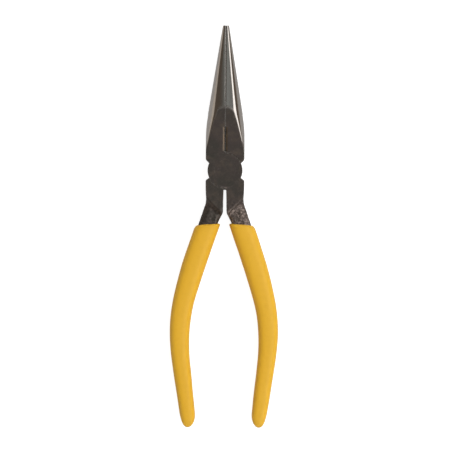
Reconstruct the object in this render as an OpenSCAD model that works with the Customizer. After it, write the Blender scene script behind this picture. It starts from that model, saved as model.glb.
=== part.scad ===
// Needle nose pliers with side cutters, a lap joint and dipped soft grips.
//
// The pliers lie flat with the jaws closed. X runs across the tool, +Y points to the jaw tips and
// +Z is up. The origin is on the axis of the pivot, at the underside of the joint. The two halves
// are the same forging: the right-hand one is the left-hand one turned over about the Y axis.

/* [Overall] */
// Thickness through the lap joint
thickness = 12; // [11:0.5:13]
// From the pivot to the jaw tips
jaw_reach = 78; // [75:1:81]
// From the pivot to the ends of the grips
grip_reach = 138; // [136:1:142]
// Width across the head
head_w = 20.7; // [20.3:0.1:21.1]

/* [Nose] */
// Width across the two closed tips
tip_w = 3.3; // [3:0.1:3.6]
// Thickness of the tips
tip_t = 2.3; // [2:0.1:2.6]
// Lean of each side of the nose from the centre line, in degrees
nose_lean = 9.2; // [9:0.1:9.4]
// Where each jaw's round side is centred, as a share of its width
round_centre = 0.3; // [0.24:0.02:0.34]
// From the pivot to where the ground facets leave the flat faces
facet_start = 33; // [31:1:35]
// Crown radius of the ground facets
facet_crown = 78; // [60:1:100]

/* [Gripping faces] */
// Gap between the closed jaws
jaw_gap = 0.12; // [0.08:0.02:0.2]
// Pitch of the gripping teeth
tooth_pitch = 1.25; // [1:0.05:1.6]
// Depth of the gripping teeth
tooth_depth = 0.3; // [0.2:0.05:0.5]
// From the pivot to the first tooth
teeth_start = 36; // [34:1:44]
// Smooth land left along both edges of the teeth
teeth_land = 0.7; // [0.5:0.05:0.8]

/* [Knives] */
// From the pivot to the near end of the knives
knife_start = 10.4; // [10.2:0.1:11]
// Length of the knives
knife_l = 12.8; // [10:0.1:16]
// Depth of the relief in front of and behind each knife edge
knife_relief = 0.45; // [0.3:0.05:0.6]
// Width of the shallow chamfers beside the knives, on the flat faces
knife_chamfer = 0.9; // [0.5:0.1:1.2]
// Lean of each knife's bevels from the plane of the tool, in degrees
knife_bevel = 45; // [35:1:55]

/* [Joint] */
// Diameter of the hubs
hub_d = 18.7; // [18.2:0.1:18.8]
// How far the tool opens, in degrees
open_angle = 48; // [44:1:50]
// Gap between each hub and the recess it turns in
hub_gap = 0.15; // [0.1:0.01:0.25]
// Gap between the two faces of the lap joint
lap_gap = 0.1; // [0.04:0.02:0.16]
// Diameter of the rivet
rivet_d = 8; // [7:0.5:9]
// Diameter of the rivet's countersunk heads
rivet_head_d = 11; // [10:0.5:12]
// Depth of the rivet's heads
rivet_head_t = 1.6; // [1.2:0.1:2]
// Running clearance between the rivet and the half that turns on it, on the radius
rivet_clearance = 0.05; // [0.02:0.01:0.08]

/* [Shanks] */
// Gap between the shanks under the joint
shank_gap = 1.4; // [1.3:0.1:1.7]
// Slope of the step from the flat faces to the thinner shanks, in degrees
step_slope = 50; // [40:1:60]

/* [Grips] */
// Half width of the grips at the top, square to their length
grip_half_w = 6.3; // [6.1:0.05:6.5]
// Half width of the grips at the bottom, square to their length
grip_end_half_w = 4.15; // [3.9:0.05:4.4]
// Thickness of the grips at the bottom
grip_end_t = 10; // [9:0.5:11]
// Wall of the dipped sleeves
grip_wall = 1.5; // [1.3:0.1:1.7]
// How square the grips' section is: 2 is an ellipse and more is squarer
grip_square = 2.8; // [2.2:0.1:3.5]
// Height of the sleeves' mouths below the pivot
grip_top = 28.9; // [28.5:0.1:30]
// Angle of the handles at the top, in degrees
handle_lean = 19; // [18.5:0.1:19.5]

/* [Hidden] */

$fn = 96;
steel_dark = "#453f3b";
steel_ground = "#7b756f";
vinyl_yellow = "#dfaa32";

over = 1;             // how far a cutting shape runs past what it cuts
mid = thickness / 2;  // height of the plane between the two halves
hub_r = hub_d / 2;
head_half = head_w / 2;
gap_half = jaw_gap / 2;

// The nose's sides meet at an apex beyond the tips. Seen from above each jaw's round side is a cone
// from that apex, whose axis leans by nose_turn and whose half angle is nose_cone.
nose_slope = tan(nose_lean);
apex_y = jaw_reach + tip_w / 2 / nose_slope;
nose_turn = atan(round_centre * nose_slope);
nose_cone = nose_lean - nose_turn;
cone_near = 5;                  // the cone starts this far from its apex
cone_far = apex_y + over;       // and ends this far from it
facet_tilt = atan2((thickness - tip_t) / 2, jaw_reach - facet_start);
tip_chamfer = 0.35;
chamfer_slope = 22;             // of the chamfers beside the knives

// Sides of the head, from the notch up to where they run out into the nose
notch_half = open_angle / 2 + 0.85;
jaw_shoulder = 5.9;
block_shoulder = 5.4;
side_start = 17.5;
side_lean = [2.8, 4.5];         // the side leans in by these angles, in two flats
side_step = 6;

// Shank block under the joint
block_side_end = 12.5;
block_waist = [9.9, -16.6];
slit_top = -10.3;               // the two blocks meet above here, and stop the closed handles
slit_foot = [1, -21];
slit_corner = [1.28, -23.2];
chevron = [9.6, -14.9];         // outer end of the edge where the flat face stops
chevron_run = 1.3;              // the step from the flat face ends this far past that edge
chevron_dir = atan2(chevron[1] - slit_corner[1], chevron[0] - slit_corner[0]);

// Centre line of the right handle, from the top down. Each bend is [y where it ends, its radius],
// a radius of 0 is a straight stretch, a negative one turns the grip outward, and every stretch
// runs on smoothly from the last.
handle_x = 9;
bends = [[-39.5, 0], [-67, 375], [-92.5, 88], [-104.5, 130], [-131, 0], [-200, -30]];
taper_start = -50;              // the grips narrow from here
grip_end_start = -129;          // and close from here
tang_top = -9;
tang_end = -130;
tang_sides = 8;
grip_sides = 32;
lip_len = 2.4;                  // the sleeve's lip swells to the full wall over this length
lip_wall = 0.3;

function blend(a, b, t) = a + (b - a) * min(1, max(0, t));
function spow(v, p) = sign(v) * pow(abs(v), p);

// [x, heading] of the centre line at height y: heading is its angle outward from straight down
function along(y, i, y0, x0, turn) =
    let (stop = bends[i][0], radius = bends[i][1], end = max(y, stop),
         turned = radius == 0 ? turn : asin(sin(turn) + (end - y0) / radius),
         x = radius == 0 ? x0 + (y0 - end) * tan(turn) : x0 + radius * (cos(turned) - cos(turn)))
    y >= stop ? [x, turned] : along(y, i + 1, stop, x, turned);
function handle(y) = along(y, 0, -grip_top, handle_x, handle_lean);

// Half width and half thickness of a handle at height y, over the sleeve
function over_w(y) =
    blend(grip_half_w, grip_end_half_w, (taper_start - y) / (taper_start - grip_end_start))
    / cos(handle(y)[1]);
function over_t(y) = blend(mid, grip_end_t / 2, (taper_start - y) / (taper_start - grip_end_start));

// Height, and share of the width, of ring i of the sleeve's closed end
end_rings = 7;
function end_y(i) = grip_end_start - (grip_reach + grip_end_start) * sin(90 * i / end_rings);
function end_share(i) = sqrt(1 - pow(sin(90 * i / end_rings), 2.3));

// One ring of a sleeve: half width w and half thickness t about the centre line at height y
function sleeve_ring(y, w, t) = [for (i = [0:grip_sides - 1]) let (a = 360 * i / grip_sides)
    [handle(y)[0] + w * spow(cos(a), 2 / grip_square), y, mid + t * spow(sin(a), 2 / grip_square)]];

// The eight corners of the tang's section: flat faces, a broad bevel outside, a narrow one inside
tang_out = [0.47, 0.23];
tang_in = [0.25, 0.25];
function tang_w(y) = over_w(y) - grip_wall / cos(handle(y)[1]);
function tang_t(y) = over_t(y) - grip_wall + 0.1;
function tang_corner(y, i) = let (w = tang_w(y), t = tang_t(y), low = i > 3 ? -1 : 1,
    k = i > 3 ? 7 - i : i,
    p = [[w, t * (1 - tang_out[1])], [w * (1 - tang_out[0]), t],
         [-w * (1 - tang_in[0]), t], [-w, t * (1 - tang_in[1])]][k])
    [handle(y)[0] + p[0], y, mid + low * p[1]];

// A ring with the same points between corners on every side
function tang_ring(y, per_side) = [for (i = [0:tang_sides - 1], j = [0:per_side - 1])
    let (a = tang_corner(y, i), b = tang_corner(y, (i + 1) % tang_sides))
    a + (b - a) * j / per_side];

tang_y = concat([tang_top], [-grip_top], [for (y = [-39.5:-6.5:-65.5]) y],
    [for (y = [-69:-3.5:-104]) y], [-110, -120, tang_end]);
cavity_y = [for (y = tang_y) if (y <= -grip_top) y];
sleeve_y = concat([for (y = [-35:-6:-65]) y], [for (y = [-68.5:-3:-104.5]) y], [-110, -117, -123]);

// Skins between rings of n points each, from the first ring to the last
function skin(rings, n) = [for (k = [0:rings - 2], i = [0:n - 1])
    let (j = (i + 1) % n, a = k * n, b = a + n) each
    [[a + i, b + j, a + j], [a + i, b + i, b + j]]];

// ---- the forged halves ----

// Outline of the right-hand jaw, from the notch to the tip
module jaw_outline() {
    x1 = head_half - side_step * tan(side_lean[0]);
    polygon([[gap_half, 0],
        [hub_r * cos(notch_half), hub_r * sin(notch_half)],
        [head_half, jaw_shoulder],
        [head_half, side_start],
        [x1, side_start + side_step],
        [x1 - 10 * tan(side_lean[1]), side_start + side_step + 10],
        [tip_w / 2 + 1, jaw_reach - 4],
        [tip_w / 2 - tip_chamfer + 1.1, jaw_reach - 1.1],
        [tip_w / 2 - tip_chamfer, jaw_reach],
        [gap_half, jaw_reach]]);
}

// Plan of the grooves across the right-hand jaw's gripping face
module tooth_grooves() {
    teeth = floor((jaw_reach - tooth_pitch - teeth_start) / tooth_pitch);
    for (i = [0:teeth - 1])
        translate([gap_half, teeth_start + i * tooth_pitch])
            polygon([[0, 0.1 * tooth_pitch], [tooth_depth, 0.45 * tooth_pitch],
                [0, 0.8 * tooth_pitch], [-over, 0.8 * tooth_pitch], [-over, 0.1 * tooth_pitch]]);
}

// The right-hand jaw's round side
module nose_side() {
    translate([0, apex_y, mid])
        rotate([90, 0, nose_turn])
            translate([0, 0, cone_near])
                cylinder(h = cone_far - cone_near, r1 = cone_near * tan(nose_cone),
                    r2 = cone_far * tan(nose_cone));
}

// Everything under the crowned facet that is ground on the top of the nose
module under_facet() {
    translate([0, facet_start, thickness - facet_crown / cos(facet_tilt)])
        rotate([-90 - facet_tilt, 0, 0])
            translate([0, 0, -2 * facet_start])
                cylinder(h = 2 * facet_start + jaw_reach, r = facet_crown);
}

// The space in front of and behind the right-hand knife, down to its edge
module knife_space() {
    rise = (knife_relief - gap_half) * tan(knife_bevel);
    drop = knife_chamfer * tan(chamfer_slope);
    outer = knife_relief + knife_chamfer;
    translate([0, knife_start + knife_l, 0])
        rotate([90, 0, 0])
            linear_extrude(knife_l)
                polygon([[-over, -over], [outer, -over], [outer, 0], [knife_relief, drop],
                    [knife_relief, mid - rise], [gap_half, mid], [knife_relief, mid + rise],
                    [knife_relief, thickness - drop], [outer, thickness],
                    [outer, thickness + over], [-over, thickness + over]]);
}

// Everything between the nose's two facets, this far in from both
module between_facets(inset) {
    intersection() {
        translate([0, 0, -inset]) under_facet();
        translate([0, 0, thickness + inset]) mirror([0, 0, 1]) under_facet();
    }
}

module right_jaw() {
    difference() {
        intersection() {
            linear_extrude(thickness) jaw_outline();
            nose_side();
            between_facets(0);
        }
        intersection() {
            linear_extrude(thickness) tooth_grooves();
            between_facets(teeth_land);
        }
        knife_space();
    }
}

// The flat block under the joint on the right, with its slit side and the edge the shank steps from
module shank_block() {
    run = chevron_run * [sin(chevron_dir), -cos(chevron_dir)];
    difference() {
        linear_extrude(thickness)
            polygon([[0, 0],
                [hub_r * cos(notch_half), -hub_r * sin(notch_half)],
                [head_half, -block_shoulder],
                [head_half, -block_side_end],
                block_waist,
                chevron + run + [0.75, 0],
                slit_corner + run,
                slit_corner,
                slit_foot,
                [shank_gap / 2, slit_top - 0.35],
                [gap_half, slit_top],
                [gap_half, -hub_r + 0.3]]);
        for (side = [0, 1])
            translate([chevron[0], chevron[1], mid + (2 * side - 1) * mid])
                rotate([0, 0, chevron_dir])
                    mirror([0, 0, 1 - side])
                        rotate([step_slope, 0, 0])
                            translate([-25, -25, 0])
                                cube([50, 25, 25]);
    }
}

// The shank and the tang that runs down inside the right-hand sleeve
module tang() {
    rings = len(tang_y);
    difference() {
        polyhedron(
            points = [for (y = tang_y) each tang_ring(y, 1)],
            faces = concat(skin(rings, tang_sides),
                [[for (i = [0:tang_sides - 1]) i],
                 [for (i = [tang_sides - 1:-1:0]) (rings - 1) * tang_sides + i]]));
        translate([0, 0, -over])
            linear_extrude(thickness + 2 * over)
                polygon([[-10, 0], [shank_gap / 2, 0], [shank_gap / 2, slit_top], slit_foot,
                    slit_corner, [slit_corner[0] + 0.5, -24], [-10, -24]]);
    }
}

// The left jaw, the upper hub and the right shank, in one piece
module forged_half() {
    difference() {
        union() {
            mirror([1, 0, 0]) right_jaw();
            translate([0, 0, mid]) cylinder(h = mid, r = hub_r);
            shank_block();
            tang();
        }
        translate([0, 0, -over])
            cylinder(h = mid + lap_gap / 2 + over, r = hub_r + hub_gap);
    }
}

// The rivet, larger all over by grow, so that the same shape cuts the holes it sits in
module rivet_shape(grow) {
    r = rivet_d / 2 + grow;
    head_r = rivet_head_d / 2 + grow;
    rotate_extrude()
        polygon([[0, 0], [head_r, 0], [r, rivet_head_t], [r, thickness - rivet_head_t],
            [head_r, thickness], [0, thickness]]);
}

module left_jaw_half() {
    color(steel_dark)
        difference() {
            forged_half();
            rivet_shape(0);
        }
}

module right_jaw_half() {
    color(steel_ground)
        difference() {
            translate([0, 0, thickness]) rotate([0, 180, 0]) forged_half();
            rivet_shape(rivet_clearance);
        }
}

module pivot_rivet() {
    color(steel_dark) rivet_shape(0);
}

// ---- the dipped sleeves ----

// One closed sock: the outside from the mouth to the end, and the cavity that the tang fills
module sleeve() {
    lip = [for (a = [0:18:90]) let (y = -grip_top - lip_len * (1 - cos(a)))
        [y, grip_wall - blend(lip_wall, grip_wall, sin(a))]];
    closing = [for (i = [0:end_rings - 1]) i];
    outer = concat(
        [for (l = lip) each sleeve_ring(l[0], over_w(l[0]) - l[1], over_t(l[0]) - l[1])],
        [for (y = sleeve_y) each sleeve_ring(y, over_w(y), over_t(y))],
        [for (i = closing) each sleeve_ring(end_y(i), over_w(end_y(i)) * end_share(i),
            over_t(end_y(i)) * end_share(i))]);
    inner = [for (y = cavity_y) each tang_ring(y, grip_sides / tang_sides)];
    outer_rings = len(outer) / grip_sides;
    inner_rings = len(inner) / grip_sides;
    tip = len(outer) + len(inner);
    last = (outer_rings - 1) * grip_sides;
    base = len(outer);
    floor_0 = base + (inner_rings - 1) * grip_sides;
    polyhedron(
        points = concat(outer, inner, [[handle(-grip_reach)[0], -grip_reach, mid]],
            [[handle(tang_end)[0], tang_end, mid]]),
        faces = concat(
            skin(outer_rings, grip_sides),
            [for (i = [0:grip_sides - 1]) [last + (i + 1) % grip_sides, last + i, tip]],
            [for (f = skin(inner_rings, grip_sides)) [base + f[2], base + f[1], base + f[0]]],
            [for (i = [0:grip_sides - 1])
                [floor_0 + i, floor_0 + (i + 1) % grip_sides, tip + 1]],
            [for (i = [0:grip_sides - 1]) let (j = (i + 1) % grip_sides) each
                [[i, base + j, base + i], [i, j, base + j]]]));
}

module right_grip() {
    color(vinyl_yellow) sleeve();
}

module left_grip() {
    color(vinyl_yellow) mirror([1, 0, 0]) sleeve();
}

left_jaw_half();
right_jaw_half();
pivot_rivet();
left_grip();
right_grip();
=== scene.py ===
import math

import bpy
import numpy as np
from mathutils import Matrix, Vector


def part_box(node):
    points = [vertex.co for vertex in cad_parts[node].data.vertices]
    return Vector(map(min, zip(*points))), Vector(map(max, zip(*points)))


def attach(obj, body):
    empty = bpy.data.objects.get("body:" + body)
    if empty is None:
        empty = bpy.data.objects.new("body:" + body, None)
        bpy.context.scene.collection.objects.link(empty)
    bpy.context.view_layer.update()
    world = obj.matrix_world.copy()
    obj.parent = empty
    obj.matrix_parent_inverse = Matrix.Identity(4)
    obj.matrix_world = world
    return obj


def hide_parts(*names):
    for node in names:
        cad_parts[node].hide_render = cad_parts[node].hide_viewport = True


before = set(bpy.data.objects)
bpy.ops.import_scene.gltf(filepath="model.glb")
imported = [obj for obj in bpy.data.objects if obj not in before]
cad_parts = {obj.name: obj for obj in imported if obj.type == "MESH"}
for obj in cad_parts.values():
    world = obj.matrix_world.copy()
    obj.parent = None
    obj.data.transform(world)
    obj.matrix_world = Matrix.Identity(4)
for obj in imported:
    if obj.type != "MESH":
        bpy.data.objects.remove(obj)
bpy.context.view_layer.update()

# Needle nose pliers lying flat, jaws to +Y. Lengths in this script are millimetres until a mesh
# is made. Heights in the steel's shape are from the plane between the two halves of the joint.

MM = 0.001


def box_mm(node):
    """A CAD node's lowest and highest corners, in millimetres."""
    low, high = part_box(node)
    return np.array(low) / MM, np.array(high) / MM


# ---- sizes ----

left_low, left_high = box_mm("left_jaw_half")
rivet_high = box_mm("pivot_rivet")[1]
sleeve_low, sleeve_high = box_mm("right_grip")

MID = left_high[2] / 2              # half the joint's thickness, and the height of its middle plane
JAW_REACH = left_high[1]
HEAD_HALF = -left_low[0]
GRIP_TOP = -sleeve_high[1]
GRIP_REACH = -sleeve_low[1]
TANG_REACH = -left_low[1]
RIVET_HEAD_R = rivet_high[0]

# The nose: half width and half thickness at the tips, and how far each side leans in
TIP_HALF, TIP_HALF_T = 1.65, 1.15
NOSE_LEAN = math.radians(9.2)
ROUND_CENTRE = 0.3                  # where a jaw's round side is centred, as a share of its width
FACET_START = 33.0                  # the ground facets leave the flat faces here
FACET_CROWN = 52.0
JAW_GAP_HALF = 0.01
SHINE_START, SHINE_FADE = 14.5, 1.5     # the rounded edge of the flat face is ground from here up

# The head: its straight side ends at SIDE_END, curves into the nose, then stays clear outside it
JAW_SHOULDER = 5.9
SIDE_END, SIDE_CURVE, SIDE_CLEAR = 17.4, 80.0, 0.3

# Teeth across the gripping faces. The root's place and the slope's run are shares of the pitch
TOOTH_PITCH, TOOTH_DEPTH, TOOTH_ROOT, TOOTH_RUN = 1.25, 0.3, 0.45, 0.35
TEETH_START, TEETH_END, TEETH_LAND = 36.0, JAW_REACH - 1.5, 0.7

# Knives: a relief down to the edges, with a shallow chamfer on the flat face beside it
KNIFE_START, KNIFE_END, KNIFE_RELIEF, KNIFE_CHAMFER = 10.4, 23.2, 0.25, 0.95
KNIFE_SLOPE, KNIFE_LAND, CHAMFER_SLOPE = math.radians(45), 0.3, math.radians(22)

# The joint
HUB_R, HUB_GAP, LAP_GAP = 9.35, 0.05, 0.1
RIVET_R, RIVET_HEAD_T = 4.0, 1.6
NOTCH_HALF = math.radians(24.85)

# The blocks under the joint, and the step from their flat faces to the thinner shanks
BLOCK_SHOULDER = -5.4
STOP_FOOT = -10.35                  # the two blocks meet above here, and stop the closed handles
SLIT_TOP, SLIT_FOOT, SLIT_CORNER = (0.7, -10.3), (1.0, -21.0), (1.28, -23.2)
SLIT_FLARE = (2.67, -25.5)
WAIST_TOP, WAIST = (10.25, -12.5), (9.9, -16.6)
CHEVRON = (9.6, -14.9)
STEP_SLOPE = math.radians(48)

# The tang: its corners as shares of the half width and half thickness, from the outer side inward,
# and the directions that the bevels between them face
TANG_CORNERS = (1, 0.77), (0.53, 1), (-0.75, 1), (-1, 0.75)
OUTER_BEVEL, INNER_BEVEL = (0.425, 0.905), (0.677, 0.736)

# The sleeves, measured square to the handle
GRIP_HALF_W, GRIP_END_HALF_W, GRIP_END_HALF_T = 6.3, 4.15, 5.0
GRIP_WALL, TANG_SLACK, TANG_TOP = 1.5, 0.1, 9.0
GRIP_SQUARE = 2.8                   # how square the section is: 2 is an ellipse
LIP_WALL = 0.3                      # the wall at the mouth, which swells to the full wall
LIP_RUN, LIP_RUN_OUT = 1.7, 0.8     # over this length, and this much more on the outer side
MOUTH_TILT = 0.079                  # the mouth's outer side is lower by this share of its width
END_POWER = 2.3                     # how square the closed end is
SWELL = 0.045                       # height of the dipped surface's broad unevenness
HANDLE_X, HANDLE_LEAN = 9.0, math.radians(19)
# Stretches of the handle's centre line: where each ends, and its radius, or 0 where it is straight
BENDS = ((-39.5, 0), (-67, 375), (-92.5, 88), (-104.5, 130), (-131, 0), (-145, -30))
TAPER_START, GRIP_END_START = -50.0, -129.0

# Radii of rounded edges. The first two vary along the jaw: heights, and the radius at each
SIDE_EDGE_R = (14, 20, 29, 34, 43), (0.25, 0.3, 0.36, 0.22, 0.12)
GRIPPING_EDGE_R = (33, 41), (0.2, 0.34)
HEAD_EDGE_R, SHOULDER_R, KNIFE_EDGE_R = 0.35, 0.3, 0.05
HUB_EDGE_R, RECESS_R, HOLE_EDGE_R = 0.12, 0.08, 0.1
BLOCK_EDGE_R, STEP_R, SLIT_R, ROOT_R = 0.3, 0.8, 0.2, 0.9
TANG_R, OUTER_BEVEL_R, INNER_BEVEL_R, CUT_R = 0.6, 0.5, 0.4, 0.2

APEX_Y = JAW_REACH + TIP_HALF / math.tan(NOSE_LEAN)
NOSE_TURN = math.atan(ROUND_CENTRE * math.tan(NOSE_LEAN))
NOSE_CONE = NOSE_LEAN - NOSE_TURN
FACET_TILT = math.atan2(MID - TIP_HALF_T, JAW_REACH - FACET_START)

VOXEL = 0.25                        # spacing of the grid that the steel's skin is found on
SHANK_CUT = -36.0                   # the fine skin stops here, inside the sleeve
ROUGH_START, ROUGH_HEIGHT = -15.5, 0.05     # the shanks are rough as forged from here down
FLECKS_START = -20.0                # and show bright flecks from about here


# ---- shaping by distance: negative inside the steel, positive outside ----

def both(a, b, r):
    """Where two solids overlap, with the edge between them rounded to radius r."""
    return np.minimum(np.maximum(a, b), -r) + np.hypot(np.maximum(a + r, 0), np.maximum(b + r, 0))


def either(a, b, r):
    """Two solids joined, with the corner between them filled to radius r."""
    return np.maximum(np.minimum(a, b), r) - np.hypot(np.maximum(r - a, 0), np.maximum(r - b, 0))


def line(x, y, start, end):
    """Distance from a line in plan, positive on its left as seen going from start to end."""
    dx, dy = end[0] - start[0], end[1] - start[1]
    return ((y - start[1]) * dx - (x - start[0]) * dy) / math.hypot(dx, dy)


def ripple(x, y, z, seed, waves, low, high):
    """Smooth irregular waves of mean height 0, with wavelengths from low to high."""
    rng = np.random.default_rng(seed)
    total = 0
    for _ in range(waves):
        way = rng.normal(size=3)
        way *= 2 * math.pi / (np.linalg.norm(way) * rng.uniform(low, high))
        total = total + np.sin(x * way[0] + y * way[1] + z * way[2] + rng.uniform(0, 2 * math.pi))
    return total / math.sqrt(waves)


def nose_cone(x, y, z):
    """The round outer side of the jaw at +X."""
    away, across = APEX_Y - y, x
    along = across * math.sin(NOSE_TURN) + away * math.cos(NOSE_TURN)
    off = np.maximum(across * math.cos(NOSE_TURN) - away * math.sin(NOSE_TURN), 0)
    return (np.hypot(off, z) - along * math.tan(NOSE_CONE)) * math.cos(NOSE_CONE)


def nose_facet(x, y, up):
    """The slightly crowned facet ground on the nose, sloping down to the tip."""
    off = (y - FACET_START) * math.sin(FACET_TILT) + (up - MID) * math.cos(FACET_TILT)
    return np.hypot(x, off + FACET_CROWN) - FACET_CROWN


def jaw(x, y, z):
    """The jaw at +X, and how far each point is from its black, unground faces."""
    up = np.abs(z)
    flat = up - MID
    facet = nose_facet(x, y, up)
    cone = nose_cone(x, y, z)
    past = np.clip((y - SIDE_END) / SIDE_CURVE, 0, math.sin(NOSE_LEAN))
    side = x - (HEAD_HALF - SIDE_CURVE * (1 - np.sqrt(1 - past * past)))
    side = np.where(past >= math.sin(NOSE_LEAN), side - SIDE_CLEAR, side)
    shoulder = line(x, y, (HEAD_HALF, JAW_SHOULDER),
                    (HUB_R * math.cos(NOTCH_HALF), HUB_R * math.sin(NOTCH_HALF)))
    phase = (y - TEETH_START) / TOOTH_PITCH
    teeth = TOOTH_DEPTH * np.clip(1 - np.abs(phase % 1 - TOOTH_ROOT) / TOOTH_RUN, 0, 1)
    top = np.maximum(flat, facet)
    teeth = np.where((phase > 0) & (y < TEETH_END), np.clip(-top - TEETH_LAND, 0, teeth), 0)
    inside = JAW_GAP_HALF + teeth - x
    edge_r = np.interp(y, *SIDE_EDGE_R)
    d = both(top, cone, edge_r)
    d = both(d, side, HEAD_EDGE_R)
    d = both(d, shoulder, SHOULDER_R)
    d = both(d, y - JAW_REACH, HEAD_EDGE_R)
    d = both(d, inside, np.interp(y, *GRIPPING_EDGE_R))
    bevel = (x - JAW_GAP_HALF) * math.sin(KNIFE_SLOPE) - (up - KNIFE_LAND) * math.cos(KNIFE_SLOPE)
    chamfer = ((x - KNIFE_RELIEF - KNIFE_CHAMFER) * math.sin(CHAMFER_SLOPE)
               - (up - MID) * math.cos(CHAMFER_SLOPE))
    pocket = np.minimum(np.maximum(x - KNIFE_RELIEF, bevel), chamfer)
    pocket = np.maximum(np.maximum(KNIFE_START - y, y - KNIFE_END), pocket)
    shiny = 0.9 * edge_r * np.clip((y - SHINE_START) / SHINE_FADE, 0, 1)
    margin = np.maximum(cone + shiny, facet) - np.maximum(flat, side)
    return both(d, -pocket, KNIFE_EDGE_R), np.maximum(margin, 0)


def handle(y):
    """Centre line of the handle at +X: how far out it is at height y, and how far it leans."""
    y = np.asarray(y, float)
    x, lean = np.zeros_like(y), np.zeros_like(y)
    x0, y0, lean0, left = HANDLE_X, -GRIP_TOP, HANDLE_LEAN, np.ones(y.shape, bool)
    for stop, radius in BENDS:
        here = left & (y >= stop)
        if radius:
            turned = np.arcsin(np.clip(math.sin(lean0) + (y - y0) / radius, -1, 1))
            x_here = x0 + radius * (np.cos(turned) - math.cos(lean0))
            lean1 = math.asin(math.sin(lean0) + (stop - y0) / radius)
            x1 = x0 + radius * (math.cos(lean1) - math.cos(lean0))
        else:
            turned, x_here = lean0, x0 + (y0 - y) * math.tan(lean0)
            lean1, x1 = lean0, x0 + (y0 - stop) * math.tan(lean0)
        x, lean = np.where(here, x_here, x), np.where(here, turned, lean)
        left &= ~here
        x0, y0, lean0 = x1, stop, lean1
    return x, lean


def sleeve_half(y):
    """Half width, square to the handle, and half thickness over the sleeve."""
    t = np.clip((TAPER_START - y) / (TAPER_START - GRIP_END_START), 0, 1)
    return (GRIP_HALF_W + (GRIP_END_HALF_W - GRIP_HALF_W) * t, MID + (GRIP_END_HALF_T - MID) * t)


def shank(x, y, z):
    """The block under the joint, and the shank that runs from it down into the sleeve, at +X."""
    up = np.abs(z)
    vertex = (HUB_R * math.cos(NOTCH_HALF), -HUB_R * math.sin(NOTCH_HALF))
    block = both(x - HEAD_HALF, -line(x, y, WAIST, WAIST_TOP), BLOCK_EDGE_R)
    block = both(block, -line(x, y, (HEAD_HALF, BLOCK_SHOULDER), vertex), HEAD_EDGE_R)
    block = both(block, -line(x, y, SLIT_CORNER, SLIT_FLARE), BLOCK_EDGE_R)
    past = -line(x, y, SLIT_CORNER, CHEVRON)
    step = past * math.sin(STEP_SLOPE) + (up - MID) * math.cos(STEP_SLOPE)
    block = both(block, step, STEP_R)
    block = both(block, up - MID, BLOCK_EDGE_R)

    centre, lean = handle(y)
    off = (x - centre) * np.cos(lean)
    half_w, half_t = sleeve_half(y)
    w, t = half_w - GRIP_WALL, half_t - GRIP_WALL + TANG_SLACK
    outer = (off - w) * OUTER_BEVEL[0] + (up - TANG_CORNERS[0][1] * t) * OUTER_BEVEL[1]
    inner = (-off - w) * INNER_BEVEL[0] + (up - TANG_CORNERS[3][1] * t) * INNER_BEVEL[1]
    tang = both(up - t, np.abs(off) - w, TANG_R)
    tang = both(tang, outer, OUTER_BEVEL_R)
    tang = both(tang, inner, INNER_BEVEL_R)
    d = either(block, np.maximum(tang, y + TANG_TOP), ROOT_R)
    stop = np.maximum(STOP_FOOT - y, JAW_GAP_HALF - x)
    slit = np.minimum(-line(x, y, SLIT_TOP, SLIT_FOOT), stop)
    return both(d, slit, SLIT_R)


def rivet_hole(x, y, z):
    """The hole for the rivet, countersunk at both ends."""
    out, up = np.hypot(x, y), np.abs(z)
    lean = math.atan2(RIVET_HEAD_R - RIVET_R, RIVET_HEAD_T)
    sink = (out - RIVET_HEAD_R) * math.cos(lean) + (MID - up) * math.sin(lean)
    return np.minimum(out - RIVET_R, sink)


def forging(x, y, z, seed):
    """The half with the left jaw, the upper hub and the right shank."""
    blade, ground = jaw(-x, y, z)
    out = np.hypot(x, y)
    hub = both(out - HUB_R, z - MID, HUB_EDGE_R)
    root = shank(x, y, z)
    d = np.minimum(np.minimum(blade, hub), root)
    recess = np.maximum(out - HUB_R - HUB_GAP, z - LAP_GAP / 2)
    d = both(d, -recess, RECESS_R)
    d = both(d, -rivet_hole(x, y, z), HOLE_EDGE_R)
    rough = np.clip((ROUGH_START - y) / 4, 0, 1)
    d = d + ROUGH_HEIGHT * rough * ripple(x, y, z, seed, 28, 1.3, 5.0)
    return both(d, SHANK_CUT - y, CUT_R)


def gradient(shape, p, step=0.02):
    """The slope of a distance at each point."""
    rows = []
    for axis in range(3):
        move = np.zeros(3)
        move[axis] = step
        rows.append((shape(*(p + move).T) - shape(*(p - move).T)) / (2 * step))
    return np.stack(rows, 1)


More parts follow.
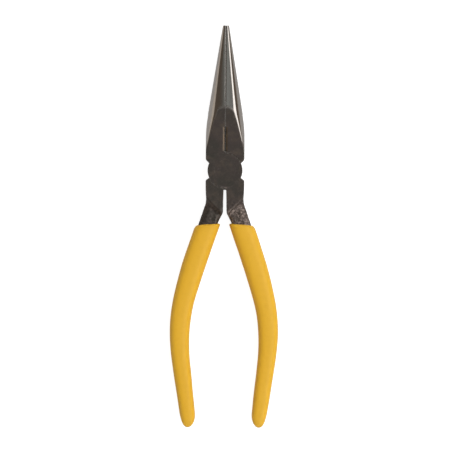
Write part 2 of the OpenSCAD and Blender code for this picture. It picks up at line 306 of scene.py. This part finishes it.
def skin(shape, low, high, voxel):
    """Points and quads of a shape's surface, with one point in each grid cell that it crosses."""
    axes = [np.arange(low[i], high[i] + voxel, voxel) for i in range(3)]
    value = shape(axes[0][:, None, None], axes[1][None, :, None], axes[2][None, None, :])
    value = np.where(value == 0, 1e-9, value)
    inside = value < 0
    count = np.zeros([n - 1 for n in value.shape], np.int8)
    corners = [(i, j, k) for i in (0, 1) for j in (0, 1) for k in (0, 1)]
    for i, j, k in corners:
        count += inside[i:i + count.shape[0], j:j + count.shape[1], k:k + count.shape[2]]
    cells = np.argwhere((count > 0) & (count < 8))
    index = -np.ones(count.shape, np.int64)
    index[tuple(cells.T)] = np.arange(len(cells))
    at = {c: value[tuple((cells + c).T)] for c in corners}
    total, hits = np.zeros((len(cells), 3)), np.zeros(len(cells))
    for a in corners:
        for axis in range(3):
            if a[axis]:
                continue
            b = tuple(1 if i == axis else a[i] for i in range(3))
            va, vb = at[a], at[b]
            cross = (va < 0) != (vb < 0)
            t = np.where(cross, va / np.where(cross, va - vb, 1), 0)
            where = np.array(a, float)[None, :] + t[:, None] * np.eye(3)[axis]
            total += where * cross[:, None]
            hits += cross
    points = (cells + total / hits[:, None]) * voxel + np.array([a[0] for a in axes])
    quads = []
    for axis in range(3):
        u, v = (axis + 1) % 3, (axis + 2) % 3
        first = np.take(inside, range(inside.shape[axis] - 1), axis)
        second = np.take(inside, range(1, inside.shape[axis]), axis)
        edges = np.argwhere(first != second)
        starts_in = first[tuple(edges.T)]
        keep = (edges[:, u] > 0) & (edges[:, v] > 0)
        keep &= (edges[:, u] < inside.shape[u] - 1) & (edges[:, v] < inside.shape[v] - 1)
        edges, starts_in = edges[keep], starts_in[keep]
        du, dv = np.eye(3, dtype=int)[u], np.eye(3, dtype=int)[v]
        loop = np.stack([index[tuple((edges - s).T)] for s in (du + dv, dv, 0 * du, du)], 1)
        quads.append(np.where(starts_in[:, None], loop, loop[:, ::-1]))
    return points, np.concatenate(quads)


def settle(shape, points, quads, rounds):
    """Evens the points out along the surface and puts each one exactly on it."""
    pairs = np.concatenate([quads[:, [i, (i + 1) % 4]] for i in range(4)])
    near = np.bincount(pairs.ravel(), minlength=len(points))[:, None]
    for turn in range(rounds + 2):
        if turn < rounds:
            total = np.zeros_like(points)
            for axis in range(3):
                total[:, axis] = np.bincount(pairs[:, 0], points[pairs[:, 1], axis], len(points))
                total[:, axis] += np.bincount(pairs[:, 1], points[pairs[:, 0], axis], len(points))
            points = 0.5 * points + 0.5 * total / near
        slope = gradient(shape, points)
        steep = np.maximum((slope ** 2).sum(1), 0.05)
        move = -shape(*points.T)[:, None] * slope / steep[:, None]
        size = np.linalg.norm(move, axis=1, keepdims=True)
        points = points + move * np.minimum(1, 0.4 * VOXEL / np.maximum(size, 1e-9))
    return points


def outward(points, faces):
    """The faces, all turned over if they enclose a negative volume."""
    points, volume = np.asarray(points), 0
    for size in {len(f) for f in faces}:
        ring = np.array([f for f in faces if len(f) == size])
        for i in range(1, size - 1):
            a, b, c = points[ring[:, 0]], points[ring[:, i]], points[ring[:, i + 1]]
            volume += (a * np.cross(b, c)).sum()
    return faces if volume > 0 else [f[::-1] for f in faces]


def mesh_object(name, points, faces, material, normals=None, values=None):
    """An object with its mesh in metres, smooth, in the CAD's frame."""
    faces = outward(points, faces)
    mesh = bpy.data.meshes.new(name)
    mesh.from_pydata((np.asarray(points) * MM).tolist(), [], [list(map(int, f)) for f in faces])
    for poly in mesh.polygons:
        poly.use_smooth = True
    for key, data in (values or {}).items():
        layer = mesh.attributes.new(key, "FLOAT", "POINT")
        layer.data.foreach_set("value", np.asarray(data, np.float32))
    mesh.materials.append(material)
    mesh.validate()
    if normals is not None:
        mesh.normals_split_custom_set_from_vertices(np.asarray(normals).tolist())
    piece = bpy.data.objects.new(name, mesh)
    bpy.context.scene.collection.objects.link(piece)
    return piece


def rings_to_faces(rings, sides, first=0):
    """Quads between rings of points, one ring after another."""
    i = np.arange(sides)
    faces = []
    for k in range(rings - 1):
        a, b = first + k * sides, first + (k + 1) * sides
        faces.extend(np.stack([a + i, a + (i + 1) % sides, b + (i + 1) % sides, b + i], 1).tolist())
    return faces


def forged_half(name, material, seed, turned_over, fleck_and_light_share):
    """The fine skin of one half, with its tang added as a loft inside the sleeve."""
    def shape(x, y, z):
        return forging(x, y, z, seed)

    low = (-HEAD_HALF - 2 * VOXEL, SHANK_CUT - 2 * VOXEL, -MID - 2 * VOXEL)
    high = (handle(SHANK_CUT)[0] + GRIP_HALF_W, JAW_REACH + 2 * VOXEL, MID + 2 * VOXEL)
    points, quads = skin(shape, low, high, VOXEL)
    points = settle(shape, points, quads, 3)
    slope = gradient(shape, points)
    normals = slope / np.linalg.norm(slope, axis=1, keepdims=True)

    # Bright ground steel on the nose's round sides and facets, black skin everywhere else
    x, y, z = points.T
    ground = np.clip(jaw(-x, y, z)[1] / 0.25, 0, 1) * (y > HUB_R + 0.5) * np.clip(-5 * x - 1, 0, 1)
    knife = np.clip((KNIFE_RELIEF + KNIFE_CHAMFER + 0.1 - np.abs(x)) / 0.15, 0, 1)
    knife = knife * (y > KNIFE_START - 0.1) * (y < KNIFE_END + 0.1)
    # Light flecks on the rough forged shank, towards its outer side. Their strength differs between
    # the halves as painted light: strong on the right shank, which faces the light, and weak on the
    # shaded left one.
    rough = fleck_and_light_share * np.clip((FLECKS_START - y + 0.45 * x) / 3.5, 0, 1)
    # Painted highlight: a lighter arc round the rim of the hub's upper face, strongest near the hub's
    # lowest point, where its rounded edge catches the light. The shader breaks it into flecks.
    rim = np.exp(-((np.hypot(x, y) - HUB_R + 0.1) / 0.4) ** 2) * (z > MID - 0.5)
    rim_highlight = rim * (0.06 + np.exp(-((np.degrees(np.arctan2(y, x)) + 101) / 17) ** 2))
    pairs = np.concatenate([quads[:, [i, (i + 1) % 4]] for i in range(4)])
    a, b = pairs[:, 0], pairs[:, 1]
    apart = points[b] - points[a]
    bend = ((normals[b] - normals[a]) * apart).sum(1) / np.maximum((apart ** 2).sum(1), 1e-6)
    worn = np.zeros(len(points))
    np.maximum.at(worn, a, bend)
    np.maximum.at(worn, b, bend)

    # The tang: the shank's section carried on down inside the sleeve, with its corners softened
    sides = 32
    stations = np.concatenate([[SHANK_CUT + 1], np.arange(-40, -TANG_REACH, -2.5), [-TANG_REACH]])
    tang = tang_rings(stations, sides, 0.02)
    first = len(points)
    faces = quads.tolist() + rings_to_faces(len(stations), sides, first)
    faces.append([first + i for i in range(sides)][::-1])
    faces.append([first + (len(stations) - 1) * sides + i for i in range(sides)])
    tang_normals = ring_normals(tang, len(stations), sides)
    points = np.concatenate([points, tang])
    normals = np.concatenate([normals, tang_normals])
    values = {"ground": ground, "knife": knife, "rough": rough, "rim_highlight": rim_highlight,
              "worn": np.clip(worn / 3, 0, 1)}
    values = {key: np.concatenate([v, np.zeros(len(tang))]) for key, v in values.items()}
    if turned_over:
        points, normals = points * (-1, 1, -1), normals * (-1, 1, -1)
    points = points + (0, 0, MID)
    return mesh_object(name, points, faces, material, normals, values)


def section(a, half_w, half_t, power):
    """Points round a rounded section, across and up, at angles a."""
    c, s = np.cos(a), np.sin(a)
    return (half_w * np.sign(c) * np.abs(c) ** (2 / power),
            half_t * np.sign(s) * np.abs(s) ** (2 / power))


def tang_rings(stations, sides, inset):
    """Rings of the tang's bevelled section, this far inside its true size."""
    rows = []
    for y in stations:
        centre, lean = handle(y)
        half_w, half_t = sleeve_half(y)
        w = (half_w - GRIP_WALL - inset) / math.cos(lean)
        t = half_t - GRIP_WALL + TANG_SLACK - inset
        upper = [(across * w, up * t) for across, up in TANG_CORNERS]
        corners = np.array(upper + [(across, -up) for across, up in reversed(upper)])
        each = sides // len(corners)
        for i, corner in enumerate(corners):
            after = corners[(i + 1) % len(corners)]
            for j in range(each):
                across, up = corner + (after - corner) * j / each
                rows.append((centre + across, y, up))
    return np.array(rows)


def ring_normals(points, rings, sides):
    """Outward directions of a loft, square to it."""
    grid = points.reshape(rings, sides, 3)
    round_it = np.roll(grid, -1, 1) - np.roll(grid, 1, 1)
    along = np.gradient(grid, axis=0)
    n = np.cross(along, round_it)
    n /= np.maximum(np.linalg.norm(n, axis=2, keepdims=True), 1e-9)
    return n.reshape(-1, 3)


def sleeve(name, material, seed, side):
    """A dipped sleeve: rounded lip, full wall, closed end, and its cavity."""
    sides = 80
    a = 2 * math.pi * np.arange(sides) / sides
    sideways = np.cos(a)
    lip_run = LIP_RUN + LIP_RUN_OUT * sideways
    rings = []

    def ring(y, wall, share=1.0):
        centre, lean = handle(y)
        half_w, half_t = sleeve_half(y)
        across, up = section(a, (half_w - GRIP_WALL + wall) / np.cos(lean) * share,
                             (half_t - GRIP_WALL + wall) * share, GRIP_SQUARE)
        rings.append(np.stack([centre + across, y + 0 * a, up], 1))

    mouth = -GRIP_TOP - MOUTH_TILT * GRIP_HALF_W * sideways
    for s in np.linspace(0, 1, 9):
        turn = s * math.pi / 2
        ring(mouth - lip_run * (1 - math.cos(turn)),
             LIP_WALL + (GRIP_WALL - LIP_WALL) * math.sin(turn))
    lip_end = mouth - lip_run
    for t in np.linspace(0, 1, 6)[1:]:
        ring(lip_end + (SHANK_CUT - lip_end) * t, GRIP_WALL)
    for y in np.arange(SHANK_CUT - 1, GRIP_END_START, -1.0):
        ring(y + 0 * a, GRIP_WALL)
    reach = GRIP_REACH + GRIP_END_START
    for turn in np.linspace(0, math.pi / 2, 14)[:-1]:
        ring(GRIP_END_START - reach * math.sin(turn) + 0 * a, GRIP_WALL,
             math.sqrt(1 - math.sin(turn) ** END_POWER))
    outer = np.concatenate(rings)
    outer_count = len(rings)
    centre = handle(-GRIP_REACH)[0]
    swell = ripple(*outer.T, seed, 16, 9, 30)
    middle = np.repeat([[r[:, 0].mean(), 0, 0] for r in rings], sides, 0)
    away = (outer - middle) * (1, 0, 1)
    away /= np.maximum(np.linalg.norm(away, axis=1, keepdims=True), 1e-6)
    keep = np.clip((MID - 0.3 - np.abs(outer[:, 2])) / 0.6, 0, 1)
    outer = outer + away * SWELL * (swell * keep)[:, None]

    stations = np.concatenate([[-GRIP_TOP - 0.6], np.arange(-32, -TANG_REACH, -4), [-TANG_REACH]])
    inner = tang_rings(stations, sides, 0.0)
    base, tip = outer_count * sides, outer_count * sides + len(inner)
    points = np.concatenate([outer, inner, [[centre, -GRIP_REACH, 0]],
                             [[handle(-TANG_REACH)[0], -TANG_REACH, 0]]])
    faces = rings_to_faces(outer_count, sides)
    faces += [f[::-1] for f in rings_to_faces(len(stations), sides, base)]
    for i in range(sides):
        j = (i + 1) % sides
        last, deep = base - sides, base + (len(stations) - 1) * sides
        faces.append([last + i, last + j, tip])
        faces.append([deep + j, deep + i, tip + 1])
        faces.append([j, i, base + i, base + j])
    if side < 0:
        points = points * (-1, 1, 1)
        faces = [f[::-1] for f in faces]
    return mesh_object(name, points + (0, 0, MID), faces, material)


def lathe(name, profile, material, sides=128):
    """A turned piece about the pivot, from (radius, height) points that begin and end on its axis."""
    a = 2 * math.pi * np.arange(sides) / sides
    middle = profile[1:-1]
    rows = [np.stack([r * np.cos(a), r * np.sin(a), h + 0 * a], 1) for r, h in middle]
    points = np.concatenate(rows + [[[0, 0, profile[0][1]], [0, 0, profile[-1][1]]]])
    faces = rings_to_faces(len(middle), sides)
    last, start, end = (len(middle) - 1) * sides, len(points) - 2, len(points) - 1
    for i in range(sides):
        j = (i + 1) % sides
        faces += [[j, i, start], [last + i, last + j, end]]
    return mesh_object(name, points, faces, material)


# ---- materials ----

class Shader:
    """A material's node tree, with short names for the nodes that this script uses."""

    def __init__(self, name):
        self.material = bpy.data.materials.new(name)
        self.material.use_nodes = True
        self.tree = self.material.node_tree
        self.surface = self.tree.nodes["Principled BSDF"]
        self.place = self.add("ShaderNodeTexCoord").outputs["Object"]

    def add(self, kind, **settings):
        node = self.tree.nodes.new(kind)
        for key, value in settings.items():
            setattr(node, key, value)
        return node

    def join(self, source, target):
        self.tree.links.new(source, target)

    def put(self, socket, value):
        """Links a socket, or sets it where value isn't a socket."""
        if isinstance(value, bpy.types.NodeSocket):
            self.join(value, socket)
        else:
            socket.default_value = value

    def noise(self, scale, detail=3.0, roughness=0.5, stretch=(1, 1, 1), distortion=0.0):
        """Noise from 0 to 1. scale is in cycles per metre, and stretch makes it longer that way."""
        mapping = self.add("ShaderNodeMapping")
        self.join(self.place, mapping.inputs["Vector"])
        mapping.inputs["Scale"].default_value = [1 / s for s in stretch]
        node = self.add("ShaderNodeTexNoise")
        self.join(mapping.outputs["Vector"], node.inputs["Vector"])
        node.inputs["Scale"].default_value = scale
        node.inputs["Detail"].default_value = detail
        node.inputs["Roughness"].default_value = roughness
        node.inputs["Distortion"].default_value = distortion
        return node.outputs["Fac"]

    def span(self, value, low, high, to_low=0.0, to_high=1.0):
        """A value rescaled from one range to another, and held inside it."""
        node = self.add("ShaderNodeMapRange")
        self.put(node.inputs["Value"], value)
        limits = {"From Min": low, "From Max": high, "To Min": to_low, "To Max": to_high}
        for key, v in limits.items():
            node.inputs[key].default_value = v
        return node.outputs["Result"]

    def sum(self, kind, a, b):
        node = self.add("ShaderNodeMath", operation=kind)
        self.put(node.inputs[0], a)
        self.put(node.inputs[1], b)
        return node.outputs["Value"]

    def mix(self, share, a, b):
        """Colour a where share is 0, and b where it is 1."""
        node = self.add("ShaderNodeMix", data_type="RGBA")
        self.put(node.inputs[0], share)
        self.put(node.inputs[6], a if isinstance(a, bpy.types.NodeSocket) else (*a, 1))
        self.put(node.inputs[7], b if isinstance(b, bpy.types.NodeSocket) else (*b, 1))
        return node.outputs[2]

    def blend(self, share, a, b):
        """Number a where share is 0, and b where it is 1."""
        node = self.add("ShaderNodeMix", data_type="FLOAT")
        self.put(node.inputs[0], share)
        self.put(node.inputs[2], a)
        self.put(node.inputs[3], b)
        return node.outputs[0]

    def value(self, name):
        return self.add("ShaderNodeAttribute", attribute_name=name).outputs["Fac"]

    def bump(self, layers):
        """Bumps one on another, each (height, strength, distance in metres)."""
        normal = None
        for height, strength, distance in layers:
            node = self.add("ShaderNodeBump")
            self.put(node.inputs["Height"], height)
            self.put(node.inputs["Strength"], strength)
            node.inputs["Distance"].default_value = distance
            if normal is not None:
                self.join(normal, node.inputs["Normal"])
            normal = node.outputs["Normal"]
        self.join(normal, self.surface.inputs["Normal"])

    def set(self, **sockets):
        names = {"colour": "Base Color", "metallic": "Metallic", "roughness": "Roughness",
                 "specular": "Specular IOR Level"}
        for key, v in sockets.items():
            socket = self.surface.inputs[names[key]]
            self.put(socket, (*v, 1) if isinstance(v, tuple) else v)


def steel_material():
    """Forged steel with a thin black oxide skin, ground bright where the ground value is 1."""
    s = Shader("pliers_steel")
    ground, knife, rough, worn, rim_highlight = (s.value(v) for v in
                                         ("ground", "knife", "rough", "worn", "rim_highlight"))
    cloud = s.noise(70, 4, 0.6)
    stain = s.noise(260, 5, 0.65, distortion=0.6)
    speck = s.noise(750, 4, 0.7)
    pits = s.noise(850, 4, 0.65)
    grain = s.noise(2600, 3, 0.6)
    lay = s.noise(4200, 2, 0.5, stretch=(1, 18, 1))

    oxide = s.mix(s.span(cloud, 0.40, 0.60), (0.054, 0.048, 0.041), (0.068, 0.054, 0.049))
    oxide = s.mix(s.span(stain, 0.48, 0.72, 0, 1.0), oxide, (0.088, 0.070, 0.055))
    oxide = s.mix(s.span(speck, 0.58, 0.78, 0, 0.6), oxide, (0.14, 0.125, 0.115))
    forged = s.mix(s.span(cloud, 0.36, 0.6), (0.057, 0.049, 0.038), (0.084, 0.063, 0.055))
    # The flecks' strength comes from the rough value, which is partly painted light: it is stronger
    # on the lit right shank.
    forged = s.mix(s.span(pits, 0.46, 0.66), forged, (0.32, 0.25, 0.215))
    skin_colour = s.mix(rough, oxide, forged)
    # Painted highlight along the hub's rim, broken into flecks, in a lighter colour
    rim_highlight_flecks = s.sum("MULTIPLY", rim_highlight, s.span(pits, 0.36, 0.56))
    skin_colour = s.mix(rim_highlight_flecks, skin_colour, (0.20, 0.165, 0.155))
    edge = s.span(s.sum("MULTIPLY", worn, s.span(pits, 0.35, 0.6, 0.3, 1.0)), 0.3, 1.0, 0, 0.6)
    skin_colour = s.mix(edge, skin_colour, (0.24, 0.22, 0.20))
    bright = s.mix(s.span(cloud, 0.3, 0.7), (0.37, 0.345, 0.325), (0.42, 0.385, 0.355))
    bright = s.mix(s.span(lay, 0.5, 0.8, 0, 0.4), bright, (0.25, 0.22, 0.19))
    bright = s.mix(s.span(stain, 0.58, 0.8, 0, 0.4), bright, (0.22, 0.18, 0.14))
    colour = s.mix(ground, skin_colour, bright)
    s.set(colour=s.mix(knife, colour, s.mix(s.span(stain, 0.4, 0.6), (0.10, 0.080, 0.060),
                                            (0.15, 0.11, 0.075))),
          metallic=s.blend(ground, 0.7, 1.0),
          roughness=s.blend(ground, s.span(stain, 0.3, 0.7, 0.40, 0.52),
                            s.span(lay, 0.3, 0.7, 0.10, 0.15)))
    s.bump([(grain, s.blend(ground, 0.35, 0.01), 0.00005),
            (pits, s.blend(rough, 0.0, 0.5), 0.00025),
            (lay, s.blend(ground, 0.0, 0.02), 0.00002)])
    return s.material


def vinyl_material():
    """Dipped soft vinyl: satin, slightly uneven in colour, with a fine orange peel."""
    s = Shader("yellow_vinyl")
    broad = s.noise(28, 3, 0.5, stretch=(1, 3, 1))
    fine = s.noise(420, 3, 0.55)
    peel = s.noise(1500, 2, 0.5)
    colour = s.mix(s.span(broad, 0.3, 0.7), (0.84, 0.47, 0.029), (0.88, 0.50, 0.034))
    colour = s.mix(s.span(fine, 0.45, 0.75, 0, 0.25), colour, (0.76, 0.405, 0.026))
    s.set(colour=colour, roughness=s.span(fine, 0.3, 0.7, 0.46, 0.56), specular=0.3)
    s.bump([(broad, 0.2, 0.0004), (peel, 0.18, 0.00006)])
    return s.material


steel = steel_material()
vinyl = vinyl_material()

# ---- pieces ----

# The left half carries the right shank, which faces the light and gets strong flecks. The right
# half's shaded left shank gets weak ones. This difference is painted light.
left_half = forged_half("left_half_forging", steel, 11, False, 0.8)
right_half = forged_half("right_half_forging", steel, 23, True, 0.2)
right_sleeve = sleeve("right_sleeve", vinyl, 5, 1)
left_sleeve = sleeve("left_sleeve", vinyl, 8, -1)

# The rivet's heads are ground flush, so they only just stand over the edges of their countersinks
head_r, proud = RIVET_HEAD_R + 0.12, MID + 0.005
upper = [(0, proud), (0.5 * head_r, proud), (head_r - 0.12, proud), (head_r - 0.04, proud),
         (head_r, MID), (RIVET_HEAD_R - 0.1, MID - 0.12), (RIVET_R, MID - RIVET_HEAD_T)]
profile = upper + [(r, -h) for r, h in reversed(upper)]
rivet = lathe("rivet", [(r, h + MID) for r, h in profile], steel)

for piece, body, node, slot in (
        (left_half, "left_half", "left_jaw_half", "black_steel"),
        (right_half, "right_half", "right_jaw_half", "black_steel"),
        (rivet, "left_half", "pivot_rivet", "rivet_steel"),
        (right_sleeve, "left_half", "right_grip", "yellow_vinyl"),
        (left_sleeve, "right_half", "left_grip", "yellow_vinyl")):
    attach(piece, body)
    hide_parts(node)

# ---- floor, light and camera ----

# The floor is plain white to look at, and dimmer to everything that it lights
floor_material = Shader("pale_floor")
floor_material.set(colour=(0.4, 0.4, 0.4), roughness=0.9, specular=0.1)
floor_material.surface.inputs["Emission Color"].default_value = (1, 1, 1, 1)
to_camera = floor_material.add("ShaderNodeLightPath").outputs["Is Camera Ray"]
floor_material.put(floor_material.surface.inputs["Emission Strength"],
                   floor_material.blend(to_camera, 0.3, 0.93))
bpy.ops.mesh.primitive_plane_add(size=8, location=(0, 0, -0.0002))
floor = bpy.context.object
floor.name = "floor"
floor.data.materials.append(floor_material.material)

# The studio seen by the tool: degrees from straight up, to the right where positive, brightness
# and tint. A wide softbox hangs on the right, and the ceiling round the camera is dim.
PLAIN, COOL, WARM, BROWN = (1, 1, 1), (0.93, 1, 0.98), (1.09, 1, 0.9), (1.2, 1, 0.8)
STUDIO = ((-180, 0.6, PLAIN), (-66, 0.80, WARM), (-60, 0.15, BROWN), (-5, 0.13, BROWN),
          (-2, 0.25, COOL), (0, 0.42, COOL), (3.5, 0.50, COOL), (6, 0.34, COOL), (14, 0.30, PLAIN),
          (16, 2.7, PLAIN), (47, 2.7, PLAIN), (53, 0.15, BROWN), (78, 0.17, BROWN),
          (96, 0.6, WARM), (180, 0.6, PLAIN))
BRIGHTEST = 3.0

world = bpy.data.worlds.new("studio")
world.use_nodes = True
bpy.context.scene.world = world
nodes, links = world.node_tree.nodes, world.node_tree.links
toward = nodes.new("ShaderNodeTexCoord")
split = nodes.new("ShaderNodeSeparateXYZ")
links.new(toward.outputs["Generated"], split.inputs[0])
angle = nodes.new("ShaderNodeMath")
angle.operation = "ARCTAN2"
links.new(split.outputs["X"], angle.inputs[0])
links.new(split.outputs["Z"], angle.inputs[1])
place = nodes.new("ShaderNodeMapRange")
links.new(angle.outputs[0], place.inputs["Value"])
place.inputs["From Min"].default_value = -math.pi
place.inputs["From Max"].default_value = math.pi
levels = nodes.new("ShaderNodeValToRGB")
links.new(place.outputs["Result"], levels.inputs["Fac"])
ramp = levels.color_ramp
while len(ramp.elements) > 1:
    ramp.elements.remove(ramp.elements[-1])
for count, (degrees, level, tint) in enumerate(STUDIO):
    stop = ramp.elements[0] if count == 0 else ramp.elements.new((degrees + 180) / 360)
    stop.position = (degrees + 180) / 360
    stop.color = (*[level / BRIGHTEST * t for t in tint], 1)
studio = nodes["Background"]
studio.inputs["Strength"].default_value = BRIGHTEST
links.new(levels.outputs["Color"], studio.inputs["Color"])
plain = nodes.new("ShaderNodeBackground")
plain.inputs["Color"].default_value = (1, 1, 1, 1)
light_path = nodes.new("ShaderNodeLightPath")
choose = nodes.new("ShaderNodeMixShader")
links.new(light_path.outputs["Is Camera Ray"], choose.inputs[0])
links.new(studio.outputs[0], choose.inputs[1])
links.new(plain.outputs[0], choose.inputs[2])
links.new(choose.outputs[0], nodes["World Output"].inputs["Surface"])

bpy.context.scene.view_settings.view_transform = "Standard"

FRAME_PX = 450
PX_MM = 216 / 402                   # the tool's 216 mm fill 402 of the frame's 450 pixels
DISTANCE = 1.2
camera_data = bpy.data.cameras.new("camera")
camera_data.sensor_width = 36
camera_data.lens = 36 * (DISTANCE - MID * MM) / (FRAME_PX * PX_MM * MM)
camera = bpy.data.objects.new("camera", camera_data)
camera.location = (0.0002, -0.0292, DISTANCE)
camera.rotation_euler = (0, 0, math.radians(0.41))
bpy.context.scene.collection.objects.link(camera)
bpy.context.scene.camera = camera
